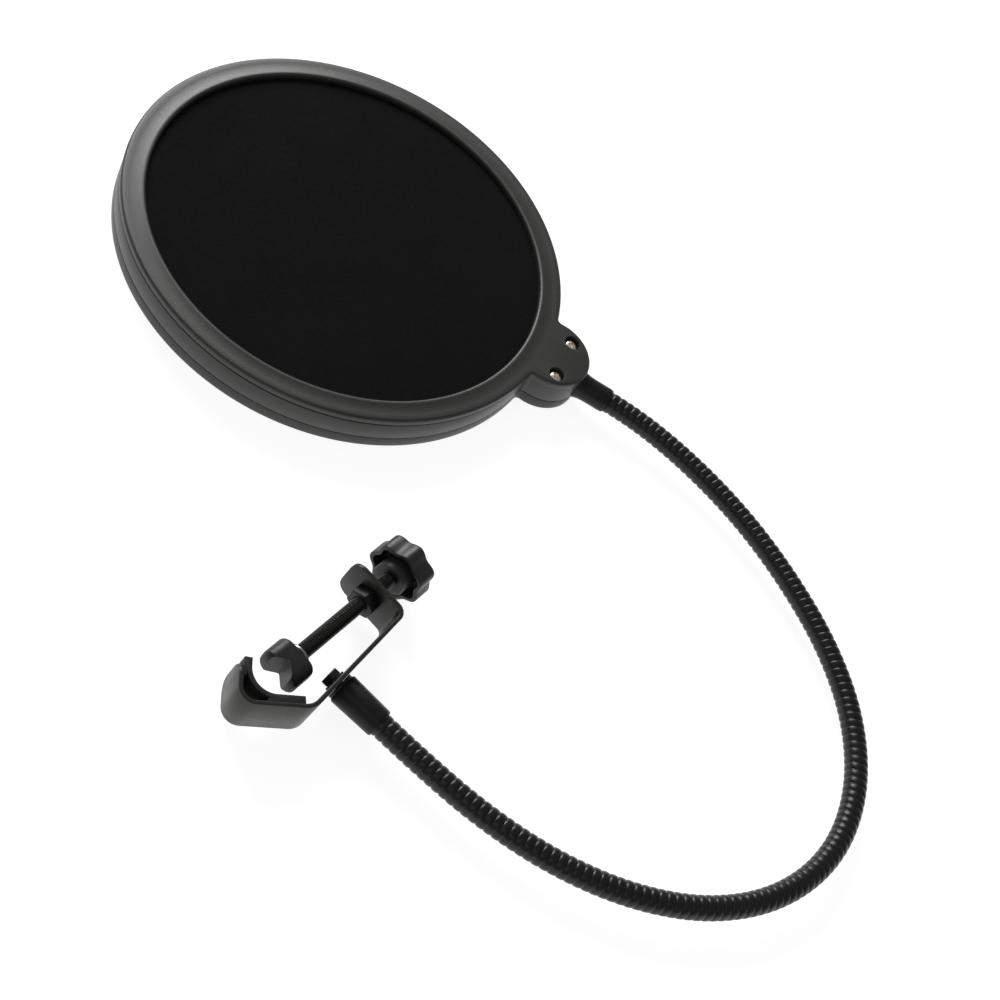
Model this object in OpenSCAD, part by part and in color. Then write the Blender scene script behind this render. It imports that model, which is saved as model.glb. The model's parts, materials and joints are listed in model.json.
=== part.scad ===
// Clip-on pop filter: a double-screen hoop on a bendable neck with a screw clamp for a stand.
// Units are millimetres. The filter lies flat: +Z is up, along the hoop's axis and along the
// tube that the clamp grips, and +X is the long way. The origin is the middle of the footprint.

/* [Hoop] */
// Outer diameter of the hoop
hoop_d = 155.4; // [140:0.2:180]
// Diameter of the clear opening in the hoop
opening_d = 139; // [124:0.5:160]
// Thickness of the hoop, front face to rear face
hoop_t = 15; // [14:0.5:18]
// Height of the seam between the front and the rear shell
seam_z = 4.8; // [4:0.1:6]
// Wall thickness of the shells
wall = 2; // [1.6:0.1:2.4]
// Thickness of each screen
screen_t = 0.4; // [0.3:0.1:0.6]

/* [Tab] */
// Radius of the tab that holds the neck
tab_r = 14; // [12:0.5:16]
// Distance of the tab's centre from the hoop's axis
tab_reach = 79.5; // [78:0.5:82]
// Distance of the screws from the hoop's axis
tab_screw_x = 84.2; // [83:0.1:86]
// Distance between the two screws
tab_screw_gap = 16.8; // [15:0.2:18]

/* [Neck] */
// Height of the neck's centreline above the table
neck_z = 7.6; // [7:0.1:8]
// Diameter over the neck's ribs
neck_d = 7.6; // [7:0.1:8.4]
// Length of one stretch between two bends
link_l = 25.7; // [22:0.1:30]
// Ribs on one stretch
link_ribs = 10; // [8:1:12]
// Direction in which the neck leaves the clamp, in degrees from +X
neck_heading = -13.5; // [-60:0.1:60]
// Turns at bends 1 to 4, counted from the clamp, in degrees
turn_a = [0.5, 8.9, 11.5, 14]; // [-4:0.1:30]
// Turns at bends 5 to 8
turn_b = [18.7, 21.5, 24, 21.6]; // [-4:0.1:30]
// Turns at bends 9 to 12
turn_c = [18.5, 13.7, 8.3, 10]; // [-4:0.1:30]
// Turns at bends 13 and 14
turn_d = [9.3, 13]; // [-4:0.1:30]
// Diameter of the ferrule at the hoop
upper_ferrule_d = 8.8; // [8.6:0.1:9.2]
// Diameter of the ferrule at the clamp
lower_ferrule_d = 9.7; // [9.6:0.1:12]
// Length of the ferrule at the clamp
lower_ferrule_l = 15; // [14:0.5:20]

/* [Clamp] */
// Place of the neck's bolt on the bracket, in plan
bolt_at = [-9.8, -103.4]; // [-150:0.1:150]
// Roll of the clamp about its spine, which lifts the jaw and the knob off the table
clamp_roll = 4; // [3.5:0.1:6]
// Thickness of the bracket's steel strip
strip_t = 1.4; // [1:0.1:2]
// Width of the bracket's steel strip
strip_w = 16; // [15:0.5:18]
// Angle between the spine and the screw
cant = 4.5; // [0:0.5:10]
// Length of the spine, from bend to bend
spine_l = 43.9; // [40:0.1:60]
// Height of the neck's bolt above the spine's lower bend
bolt_up = 15.2; // [13:0.1:20]
// Angle between the jaw's two legs
jaw_angle = 84; // [76:1:100]
// Length of the jaw's leg next to the spine
jaw_long = 21.5; // [20:0.1:30]
// Length of the jaw's free leg
jaw_short = 12.4; // [11:0.1:18]
// Length of the arm that carries the screw
arm_l = 20.6; // [19:0.2:26]
// Thickness of the rubber in the jaw
liner_t = 2.3; // [1.5:0.1:3]

/* [Screw] */
// Diameter of the clamp screw
screw_d = 5; // [5:0.5:6]
// Distance of the pad's lobes from the bottom of the jaw
pad_at = 18.8; // [16:0.1:20]
// Width of the pad
pad_w = 13.6; // [12:0.2:16]
// Depth of the pad along the screw
pad_depth = 8.4; // [8:0.2:12]
// Height of the pad
pad_h = 9.6; // [9:0.2:14]
// Diameter over the knob's lobes
knob_d = 20.4; // [17:0.2:20.6]
// Lobes on the knob
knob_lobes = 7; // [5:1:10]
// Length of the knob
knob_l = 7.2; // [7:0.2:14]
// Distance of the knob's rim from the bottom of the jaw
knob_at = 71.6; // [69:0.1:76]

/* [Hidden] */
$fn = 96;

// Clearances: bodies that turn on each other, faces that slide past each other, loose pieces
running = 0.05;
face_gap = 0.05;
loose = 0.1;

// Hoop
hoop_r = hoop_d / 2;
opening_r = opening_d / 2;
wall_in = hoop_r - wall;
screen_r = wall_in - 1.7;
ring_in = opening_r + 1.2;
ring_h = 2.5;
front_screen_z = hoop_t - wall - loose - screen_t;
rear_screen_z = wall + loose;
tab_fillet = 4;

// Tab screws and upper ferrule
tab_screw_r = 1.25;
tab_head_r = 2.1;
tab_head_h = 1.5;
tab_recess_r = 2.7;
tab_recess = 2.6;
tab_screw_l = 10;
upper_ferrule_r = upper_ferrule_d / 2;
ferrule_from = 80;
ferrule_to = 105;
collar_r = upper_ferrule_r + 0.4;
collar_l = 2.5;

// Neck: each stretch has a ball at its clamp end and a cup at its hoop end
neck_r = neck_d / 2;
groove_r = neck_r - 0.6;
ball_r = neck_r - 0.1;
cup_r = neck_r + 0.25;
cup_l = sqrt(cup_r * cup_r - neck_r * neck_r);
rib_pitch = (link_l - cup_l) / link_ribs;
stub_l = link_l / 2;
held_l = 9;
turns = concat(turn_a, turn_b, turn_c, turn_d);
bends = len(turns);

// Neck bolt and lower ferrule
bolt_r = 1.5;
bolt_hole_r = 1.7;
bolt_head_af = 5.5;
bolt_head_h = 2.2;
bolt_washer_r = 3.5;
bolt_washer_t = 0.6;
lock_washer_r = 4.3;
lock_washer_t = 1.1;
insert_l = 5.5;
ferrule_base = face_gap + lock_washer_t;
ferrule_mouth = ferrule_base + lower_ferrule_l;

// Bracket
spine_bend = 6;
jaw_bend = 4.5;
arm_bend = 3;
corner_r = 4;
half = jaw_angle / 2;

// Screw, pad and knob, as distances along the screw from the bottom of the jaw
screw_r = screw_d / 2;
journal_r = screw_r - 0.5;
pad_back = pad_at + pad_depth;
pad_corner = 3.6;
notch_depth = 3.2;
notch_w = 7.6;
clip_r = 2.6;
clip_t = 0.8;
web = 3.2;
clip_at = pad_back - web - face_gap - clip_t;
thrust_t = 0.8;
shoulder_at = pad_back + 2 * face_gap + thrust_t;
nut_h = 4.2;
nut_r = 5;
spigot_r = 4;
rivet_h = 0.8;
knob_r = knob_d / 2;
flute = 1.1;
knob_wall = 1.5;
knob_top = 2.2;
hub_r = 5.5;
hub_from = knob_at - 3;
insert_af = 8;
insert_h = 4.5;
screw_end = knob_at + knob_l - knob_top - 1;

// Height of the bolt: the rolled clamp dips to the neck's height at the first bend
bolt_to_bend = ferrule_mouth + stub_l;
bolt_z = neck_z + bolt_to_bend * sin(clamp_roll);

// Place of each bend, found by walking along the neck from the clamp
function heading(i) = i == 0 ? neck_heading : heading(i - 1) + turns[i - 1];
function along(i) = [cos(heading(i)), sin(heading(i))];
function bend_at(i) =
    i == 1 ? bolt_at + bolt_to_bend * cos(clamp_roll) * along(0)
    : bend_at(i - 1) + link_l * along(i - 1);
neck_end = bend_at(bends) + stub_l * along(bends);
hoop_at = neck_end + ferrule_to * along(bends);

// Points of an arc about c, of radius r, from angle a, through a turn t
function arc(c, r, a, t, n = 8) = [for (k = [0:n]) c + r * [cos(a + t * k / n), sin(a + t * k / n)]];

function angle_of(v) = atan2(v[1], v[0]);
function wrapped(a) = a > 180 ? a - 360 : a <= -180 ? a + 360 : a;

// Rounds the corner b of the path a, b, c to radius r
function rounded(a, b, c, r) =
    let (
        a1 = angle_of(b - a),
        t = wrapped(angle_of(c - b) - a1),
        side = t > 0 ? 1 : -1,
        cut = r * tan(abs(t) / 2),
        start = b - cut * [cos(a1), sin(a1)],
        centre = start + side * r * [-sin(a1), cos(a1)]
    )
    r <= 0 || t == 0 ? [b] : arc(centre, r, a1 - side * 90, t);

// Closed outline with each corner rounded by its own radius
function outline(p, r) =
    [for (i = [0:len(p) - 1])
        each rounded(p[(i + len(p) - 1) % len(p)], p[i], p[(i + 1) % len(p)], r[i])];

// Corner i of a path moved sideways by d, to the left of the way the path runs
function shifted(p, i, d) =
    let (
        a1 = angle_of(i == 0 ? p[1] - p[0] : p[i] - p[i - 1]),
        a2 = angle_of(i == len(p) - 1 ? p[i] - p[i - 1] : p[i + 1] - p[i]),
        half = wrapped(a2 - a1) / 2
    )
    p[i] + d / cos(half) * [-sin(a1 + half), cos(a1 + half)];

// Outline of a strip of thickness t bent along a path; every bend here turns to the right
function strip(p, bend, t) =
    let (
        n = len(p),
        outer = [for (i = [0:n - 1]) shifted(p, i, t / 2)],
        inner = [for (i = [n - 1:-1:0]) shifted(p, i, -t / 2)],
        outer_r = [for (b = bend) b > 0 ? b + t / 2 : 0],
        inner_r = [for (i = [n - 1:-1:0]) bend[i] > 0 ? bend[i] - t / 2 : 0]
    )
    outline(concat(outer, inner), concat(outer_r, inner_r));

// Puts the hoop's own frame in place: its axis along Z, its tab towards the neck
module in_hoop() {
    translate(hoop_at) rotate(heading(bends) + 180) children();
}

// Puts a stretch of neck in place: it starts at bend i and runs along +X
module in_link(i) {
    translate([bend_at(i)[0], bend_at(i)[1], neck_z]) rotate(heading(i)) children();
}

// Puts the bracket's frame in place: the bolt's axis along +X, the spine along +Y
module in_clamp() {
    translate([bolt_at[0], bolt_at[1], bolt_z]) rotate([0, clamp_roll, neck_heading]) children();
}

// Puts the jaw's frame in place: the bottom of the jaw at the origin, the screw along +Y
jaw_at = [-strip_t / 2, -bolt_up] - jaw_long * [sin(half + cant), cos(half + cant)];
module in_jaw() {
    in_clamp() translate(jaw_at) rotate(-cant) children();
}

// A cylinder along the screw, from distance a to distance b
module on_screw(a, b, r) {
    translate([0, a, 0]) rotate([-90, 0, 0]) cylinder(h = b - a, r = r);
}

// A cylinder along +X, from a to b
module on_x(a, b, r) {
    translate([a, 0, 0]) rotate([0, 90, 0]) cylinder(h = b - a, r = r);
}

// Distance of the arm from the bottom of the jaw, measured to the middle of its thickness
spine_top = [-strip_t / 2, spine_l - bolt_up];
arm_at = (spine_top - jaw_at) * [sin(cant), cos(cant)];
arm_in = arm_at - strip_t / 2;
arm_out = arm_at + strip_t / 2;
arm_start = (spine_top - jaw_at) * [cos(cant), -sin(cant)];

// ---- hoop ----

module ring(r1, r2, z1, z2) {
    rotate_extrude($fn = 180)
        polygon([[r1, z1], [r2, z1], [r2, z2], [r1, z2]]);
}

// Plan of the tab: a round lobe that runs into the hoop with a fillet on each side
module tab_plan() {
    reach = hoop_r + tab_fillet;
    arm = tab_r + tab_fillet;
    x = (reach * reach - arm * arm + tab_reach * tab_reach) / (2 * tab_reach);
    y = sqrt(reach * reach - x * x);
    difference() {
        union() {
            translate([tab_reach, 0]) circle(r = tab_r);
            polygon([[wall_in * 0.9, 0], [x, y], [tab_reach, 0], [x, -y]]);
        }
        for (side = [-1, 1])
            translate([x, side * y]) circle(r = tab_fillet);
        circle(r = wall_in + 1, $fn = 180);
    }
}

module tab_screw_places() {
    for (side = [-1, 1])
        translate([tab_screw_x, side * tab_screw_gap / 2, 0]) children();
}

// Room in the tab for the ferrule and its collar, open at the seam
module ferrule_room() {
    gap = loose / 2;
    translate([0, 0, neck_z]) {
        on_x(ferrule_from - gap, ferrule_to, upper_ferrule_r + gap);
        on_x(ferrule_from - gap, ferrule_from + collar_l + gap, collar_r + gap);
    }
    translate([ferrule_from - gap, -upper_ferrule_r - gap, seam_z])
        cube([ferrule_to, upper_ferrule_d + loose, neck_z - seam_z]);
    translate([ferrule_from - gap, -collar_r - gap, seam_z])
        cube([collar_l + loose, 2 * collar_r + loose, neck_z - seam_z]);
}

// Front shell: bezel, side wall and the upper part of the tab
module front_hoop() {
    chamfer = 0.8;
    edge = 0.5;
    color([0.2, 0.2, 0.19]) in_hoop() difference() {
        union() {
            rotate_extrude($fn = 180)
                polygon([
                    [opening_r, hoop_t - wall], [wall_in, hoop_t - wall], [wall_in, seam_z],
                    [hoop_r, seam_z], [hoop_r, hoop_t - edge], [hoop_r - edge, hoop_t],
                    [opening_r + chamfer, hoop_t], [opening_r, hoop_t - chamfer]
                ]);
            translate([0, 0, seam_z]) linear_extrude(hoop_t - seam_z) tab_plan();
        }
        ferrule_room();
        tab_screw_places() {
            cylinder(h = hoop_t + 1, r = tab_screw_r + loose);
            translate([0, 0, hoop_t - tab_recess]) cylinder(h = tab_recess + 1, r = tab_recess_r);
        }
    }
}

// Rear shell: rear flange, a short wall with a locating lip, and the lower part of the tab
module rear_hoop() {
    lip_h = 2;
    lip_t = 1.4;
    saddle_z = neck_z - 2;
    saddle_y = upper_ferrule_r - loose;
    color([0.16, 0.16, 0.15]) in_hoop() difference() {
        union() {
            rotate_extrude($fn = 180)
                polygon([
                    [opening_r, 0], [hoop_r, 0], [hoop_r, seam_z], [wall_in - loose, seam_z],
                    [wall_in - loose, seam_z + lip_h], [wall_in - lip_t, seam_z + lip_h],
                    [wall_in - lip_t, wall], [opening_r, wall]
                ]);
            linear_extrude(seam_z) tab_plan();
            translate([ferrule_from + collar_l + loose, -saddle_y, 0])
                cube([tab_reach + tab_r - 2 - ferrule_from - collar_l, 2 * saddle_y, saddle_z]);
        }
        translate([0, 0, neck_z]) {
            on_x(ferrule_from - loose, ferrule_to, upper_ferrule_r + loose / 2);
            on_x(ferrule_from - loose, ferrule_from + collar_l + loose, collar_r + loose / 2);
        }
        tab_screw_places()
            translate([0, 0, hoop_t - tab_recess - tab_screw_l - loose])
                cylinder(h = hoop_t, r = tab_screw_r);
    }
}

module screen(z) {
    color([0.08, 0.08, 0.08]) in_hoop()
        translate([0, 0, z]) cylinder(h = screen_t, r = screen_r, $fn = 180);
}

module front_screen() {
    screen(front_screen_z);
}

module rear_screen() {
    screen(rear_screen_z);
}

module front_screen_ring() {
    color("dimgray") in_hoop() ring(ring_in, screen_r, front_screen_z - ring_h, front_screen_z);
}

module rear_screen_ring() {
    z = rear_screen_z + screen_t;
    color("dimgray") in_hoop() ring(ring_in, screen_r, z, z + ring_h);
}

module spacer_ring() {
    color("gray") in_hoop()
        ring(ring_in + 0.8, screen_r, rear_screen_z + screen_t + ring_h, front_screen_z - ring_h);
}

module tab_screws() {
    slot_l = 2.4;
    slot_w = 0.6;
    slot_h = 0.8;
    color("silver") in_hoop() tab_screw_places()
        translate([0, 0, hoop_t - tab_recess]) difference() {
            union() {
                cylinder(h = tab_head_h, r = tab_head_r);
                translate([0, 0, -tab_screw_l]) cylinder(h = tab_screw_l, r = tab_screw_r);
            }
            for (a = [0, 90])
                rotate(a) translate([-slot_l / 2, -slot_w / 2, tab_head_h - slot_h])
                    cube([slot_l, slot_w, slot_h + 1]);
        }
}

// Ferrule at the hoop: a sleeve round the neck's end with a collar that the tab holds
module upper_ferrule() {
    color([0.1, 0.1, 0.1]) in_hoop() translate([0, 0, neck_z]) difference() {
        union() {
            on_x(ferrule_from, ferrule_to, upper_ferrule_r);
            on_x(ferrule_from, ferrule_from + collar_l, collar_r);
        }
        on_x(ferrule_to - held_l, ferrule_to + 1, neck_r);
    }
}

// ---- neck ----

// Outlines of a stretch of neck, as [radius, place along it], for turning about its length
function ribs(from, n) =
    [for (k = [0:n - 1]) each [
        [groove_r, from + k * rib_pitch],
        [neck_r, from + (k + 0.3) * rib_pitch],
        [neck_r, from + (k + 0.7) * rib_pitch]
    ]];
function ball_end() = [for (a = [0:10:90]) ball_r * [sin(a), -cos(a)]];
function cup_end(at) =
    let (rim = asin(neck_r / cup_r))
    [for (k = [8:-1:0]) [0, at] + cup_r * [sin(rim * k / 8), -cos(rim * k / 8)]];

module turned(outline) {
    color([0.12, 0.12, 0.11]) rotate([0, 90, 0])
        rotate_extrude($fn = 48) polygon(outline);
}

module link(i) {
    in_link(i) turned(concat(ball_end(), ribs(0, link_ribs), cup_end(link_l)));
}

module neck_end_upper() {
    n = floor((stub_l - 1) / rib_pitch);
    in_link(bends) turned(concat(
        ball_end(), ribs(0, n),
        [[neck_r, stub_l + held_l], [0, stub_l + held_l]]
    ));
}

module neck_end_lower() {
    n = floor((stub_l - cup_l) / rib_pitch);
    from = stub_l - cup_l - n * rib_pitch;
    in_clamp() translate([ferrule_mouth, 0, 0]) turned(concat(
        [[0, -held_l], [neck_r, -held_l], [neck_r, from]], ribs(from, n), cup_end(stub_l)
    ));
}

module lower_ferrule() {
    color([0.1, 0.1, 0.1]) in_clamp() difference() {
        on_x(ferrule_base, ferrule_mouth, lower_ferrule_d / 2);
        on_x(ferrule_base - 1, ferrule_mouth + 1, neck_r);
    }
}

module ferrule_insert() {
    color("goldenrod") in_clamp() difference() {
        on_x(ferrule_base, ferrule_base + insert_l, neck_r);
        on_x(ferrule_base - 1, ferrule_base + insert_l + 1, bolt_r);
    }
}

module lock_washer() {
    color("dimgray") in_clamp() difference() {
        on_x(face_gap, ferrule_base, lock_washer_r);
        on_x(-1, ferrule_base + 1, bolt_r + loose);
    }
}

module neck_bolt() {
    head_at = -strip_t - face_gap - bolt_washer_t;
    color([0.12, 0.12, 0.12]) in_clamp() {
        on_x(head_at - 0.1, ferrule_base + insert_l - 0.5, bolt_r);
        translate([head_at - bolt_head_h, 0, 0]) rotate([0, 90, 0])
            cylinder(h = bolt_head_h, d = bolt_head_af / cos(30), $fn = 6);
    }
}

module bolt_washer() {
    color("dimgray") in_clamp() difference() {
        on_x(-strip_t - face_gap - bolt_washer_t, -strip_t - face_gap, bolt_washer_r);
        on_x(-strip_t - 2, 0, bolt_r + loose);
    }
}

// ---- clamp ----

// Rounds a strip's free end: what is cut off at one corner, the corner itself at the origin
module corner_waste() {
    difference() {
        translate([-1, -1, -10]) cube([corner_r + 1, corner_r + 1, 20]);
        translate([corner_r, corner_r, -11]) cylinder(h = 22, r = corner_r + 0.02);
    }
}

module clamp_bracket() {
    tip = jaw_at + jaw_short * [-sin(half - cant), cos(half - cant)];
    arm_tip = spine_top + arm_l * [-cos(cant), sin(cant)];
    path = [arm_tip, spine_top, [-strip_t / 2, -bolt_up], jaw_at, tip];
    color([0.22, 0.22, 0.21]) difference() {
        in_clamp() translate([0, 0, -strip_w / 2]) linear_extrude(strip_w)
            mirror([1, 0]) polygon(strip(
                [for (q = path) [-q[0], q[1]]], [0, arm_bend, spine_bend, jaw_bend, 0], strip_t
            ));
        in_clamp() on_x(-5, 5, bolt_hole_r);
        in_jaw() on_screw(arm_in - 5, arm_out + 5, spigot_r);
        // free end of the arm
        for (up = [-1, 1])
            in_jaw() translate([arm_start - arm_l, arm_at, up * strip_w / 2])
                rotate([90, 0, 0]) mirror([0, up > 0 ? 1 : 0, 0]) corner_waste();
        // free end of the jaw
        for (up = [-1, 1])
            in_jaw() rotate(half) translate([0, jaw_short, up * strip_w / 2])
                rotate([0, 90, 0]) rotate(up > 0 ? -90 : 180) corner_waste();
    }
}

// Rubber in the jaw: a foot on each leg and a band that arches across the corner
module jaw_liner() {
    trough_r = 7;
    band_t = 1.4;
    foot = 8.2;
    long_end = 19.2;
    short_end = jaw_short + 1.3;
    reach = (strip_t / 2 + liner_t + trough_r) / sin(half);
    color([0.07, 0.07, 0.07]) in_jaw() translate([0, 0, -strip_w / 2 + 0.4])
        linear_extrude(strip_w - 0.8) {
            rotate(90 - half) translate([foot, strip_t / 2]) square([long_end - foot, liner_t]);
            rotate(90 + half) translate([foot, -strip_t / 2 - liner_t])
                square([short_end - foot, liner_t]);
            translate([0, reach]) intersection() {
                difference() {
                    circle(r = trough_r + band_t);
                    circle(r = trough_r);
                }
                polygon([[0, 0], 15 * [-cos(half), -sin(half)], [0, -20], 15 * [cos(half), -sin(half)]]);
            }
        }
}

module arm_nut() {
    color([0.1, 0.1, 0.11]) in_jaw() difference() {
        union() {
            on_screw(arm_in - nut_h, arm_in, nut_r);
            on_screw(arm_in - 0.5, arm_out + rivet_h, spigot_r);
        }
        on_screw(arm_in - nut_h - 1, arm_out + rivet_h + 1, screw_r + running);
    }
}

module clamp_screw() {
    color([0.15, 0.15, 0.15]) in_jaw() {
        on_screw(shoulder_at, screw_end, screw_r);
        on_screw(clip_at - 0.2, shoulder_at + 0.1, journal_r);
    }
}

module retaining_clip() {
    color("silver") in_jaw() difference() {
        on_screw(clip_at, clip_at + clip_t, clip_r);
        on_screw(clip_at - 1, clip_at + clip_t + 1, journal_r);
    }
}

module thrust_washer() {
    at = pad_back + face_gap;
    color("silver") in_jaw() difference() {
        on_screw(at, at + thrust_t, journal_r + 2);
        on_screw(at - 1, at + thrust_t + 1, journal_r + running);
    }
}

// Pad on the end of the screw, with a notch that faces the jaw
module pressure_pad() {
    w = pad_w / 2;
    h = pad_h / 2;
    color([0.14, 0.14, 0.14]) in_jaw() difference() {
        translate([0, pad_at, 0]) rotate([-90, 0, 0]) linear_extrude(pad_depth)
            polygon(outline([[-w, -h], [w, -h], [w, h], [-w, h]], [for (k = [1:4]) pad_corner]));
        translate([0, pad_at, -pad_h]) linear_extrude(2 * pad_h)
            polygon([[0, notch_depth], [-notch_w, -notch_depth], [notch_w, -notch_depth]]);
        on_screw(pad_at, pad_back + 1, journal_r + running);
        on_screw(pad_at, pad_back - web, clip_r + 0.2);
    }
}

// Lobed outline of the knob, d inside its outer surface
function lobed(d) =
    [for (k = [0:knob_lobes * 12 - 1])
        let (a = k * 30 / knob_lobes, r = knob_r - d - flute / 2 * (1 - cos(knob_lobes * a)))
        r * [cos(a + 90 - 180 / knob_lobes), sin(a + 90 - 180 / knob_lobes)]];

module clamp_knob() {
    color([0.27, 0.27, 0.26]) in_jaw() translate([0, knob_at, 0]) rotate([-90, 0, 0])
        difference() {
            union() {
                linear_extrude(knob_l) difference() {
                    polygon(lobed(0));
                    polygon(lobed(knob_wall));
                }
                translate([0, 0, knob_l - knob_top]) linear_extrude(knob_top) polygon(lobed(0.5));
                translate([0, 0, hub_from - knob_at])
                    cylinder(h = knob_l - 1 - hub_from + knob_at, r = hub_r);
            }
            translate([0, 0, hub_from - knob_at - 1])
                cylinder(h = screw_end - hub_from + 1, r = screw_r);
            translate([0, 0, hub_from - knob_at - 1])
                cylinder(h = insert_h + 1, d = insert_af / cos(30), $fn = 6);
        }
}

module knob_insert() {
    color("goldenrod") in_jaw() translate([0, hub_from, 0]) rotate([-90, 0, 0]) difference() {
        cylinder(h = insert_h, d = insert_af / cos(30), $fn = 6);
        translate([0, 0, -1]) cylinder(h = insert_h + 2, r = screw_r);
    }
}

front_hoop();
rear_hoop();
front_screen();
rear_screen();
front_screen_ring();
rear_screen_ring();
spacer_ring();
tab_screws();
upper_ferrule();
neck_end_upper();
link(1);  // neck_link_01
link(2);  // neck_link_02
link(3);  // neck_link_03
link(4);  // neck_link_04
link(5);  // neck_link_05
link(6);  // neck_link_06
link(7);  // neck_link_07
link(8);  // neck_link_08
link(9);  // neck_link_09
link(10);  // neck_link_10
link(11);  // neck_link_11
link(12);  // neck_link_12
link(13);  // neck_link_13
neck_end_lower();
lower_ferrule();
ferrule_insert();
lock_washer();
neck_bolt();
bolt_washer();
clamp_bracket();
jaw_liner();
arm_nut();
clamp_screw();
clamp_knob();
knob_insert();
thrust_washer();
pressure_pad();
retaining_clip();
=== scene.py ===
"""Looks of the pop filter: a screened hoop on a ribbed neck with a screw clamp, on a pale floor."""

import json  # noqa: E402
import math  # noqa: E402

import bmesh  # noqa: E402
import bpy  # noqa: E402
import numpy as np  # noqa: E402
from mathutils import Matrix, Vector  # noqa: E402


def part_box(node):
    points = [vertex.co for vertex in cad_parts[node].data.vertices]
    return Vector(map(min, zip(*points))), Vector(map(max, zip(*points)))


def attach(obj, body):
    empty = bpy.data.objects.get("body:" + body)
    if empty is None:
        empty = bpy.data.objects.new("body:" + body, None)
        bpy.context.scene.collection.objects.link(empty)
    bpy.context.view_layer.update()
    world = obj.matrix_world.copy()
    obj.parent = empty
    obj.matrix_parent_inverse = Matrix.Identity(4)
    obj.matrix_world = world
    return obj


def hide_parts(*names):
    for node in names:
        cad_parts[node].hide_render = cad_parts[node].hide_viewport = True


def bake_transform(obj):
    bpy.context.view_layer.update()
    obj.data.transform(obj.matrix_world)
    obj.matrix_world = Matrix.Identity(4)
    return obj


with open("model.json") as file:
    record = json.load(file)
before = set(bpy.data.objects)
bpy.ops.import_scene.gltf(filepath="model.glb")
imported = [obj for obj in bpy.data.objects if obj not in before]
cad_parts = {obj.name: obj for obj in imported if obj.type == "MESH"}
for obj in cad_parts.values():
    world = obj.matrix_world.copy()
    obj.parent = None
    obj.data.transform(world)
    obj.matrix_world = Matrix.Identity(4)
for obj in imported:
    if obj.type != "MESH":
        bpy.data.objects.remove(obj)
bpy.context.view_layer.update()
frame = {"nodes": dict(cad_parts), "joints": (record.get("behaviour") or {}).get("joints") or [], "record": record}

MM = 0.001
TAU = 2 * math.pi
JOINT = {j["name"]: j for j in frame["joints"]}


# ---- frames of the object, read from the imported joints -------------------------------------


def joint_point(name):
    return np.array(JOINT[name]["pos_m"]) / MM


def joint_axis(name):
    a = np.array(JOINT[name]["axis"], float)
    return a / np.linalg.norm(a)


def placed(x, y, z, origin):
    """4x4 matrix of a frame with these axes and this origin, in millimetres."""
    m = np.identity(4)
    m[:3, 0], m[:3, 1], m[:3, 2], m[:3, 3] = x, y, z, origin
    return m


# Hoop: axis along Z, tab along +X
screen_lo, screen_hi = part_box("front_screen")
hoop_c = (np.array(screen_lo) + np.array(screen_hi)) / 2 / MM
HOOP = placed([1, 0, 0], [0, 1, 0], [0, 0, 1], [hoop_c[0], hoop_c[1], 0])

# Clamp: origin on the neck's bolt, X along the bolt, Y up the spine
bolt_dir = joint_axis("neck_swivel")
spine_dir = np.cross([0, 0, 1], bolt_dir)
spine_dir /= np.linalg.norm(spine_dir)
up = np.cross(bolt_dir, spine_dir)
CLAMP = placed(bolt_dir, spine_dir, up, joint_point("neck_swivel"))

# Jaw: origin in the corner of the jaw, Y along the screw
screw_dir = joint_axis("knob_turn")
JAW = placed(
    np.cross(screw_dir, up), screw_dir, up, joint_point("knob_turn") - 45 * screw_dir
)


def turned_to(m, axis):
    """The frame m with its Z axis laid along its own X or Y, for pieces turned about that line."""
    x, y, z = m[:3, 0], m[:3, 1], m[:3, 2]
    if axis == "x":
        return placed(y, z, x, m[:3, 3])
    return placed(z, x, y, m[:3, 3])


# ---- materials -----------------------------------------------------------------------------


def node(tree, kind, **values):
    n = tree.nodes.new(kind)
    for key, value in values.items():
        if key in n.inputs:
            n.inputs[key].default_value = value
        else:
            setattr(n, key, value)
    return n


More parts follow.
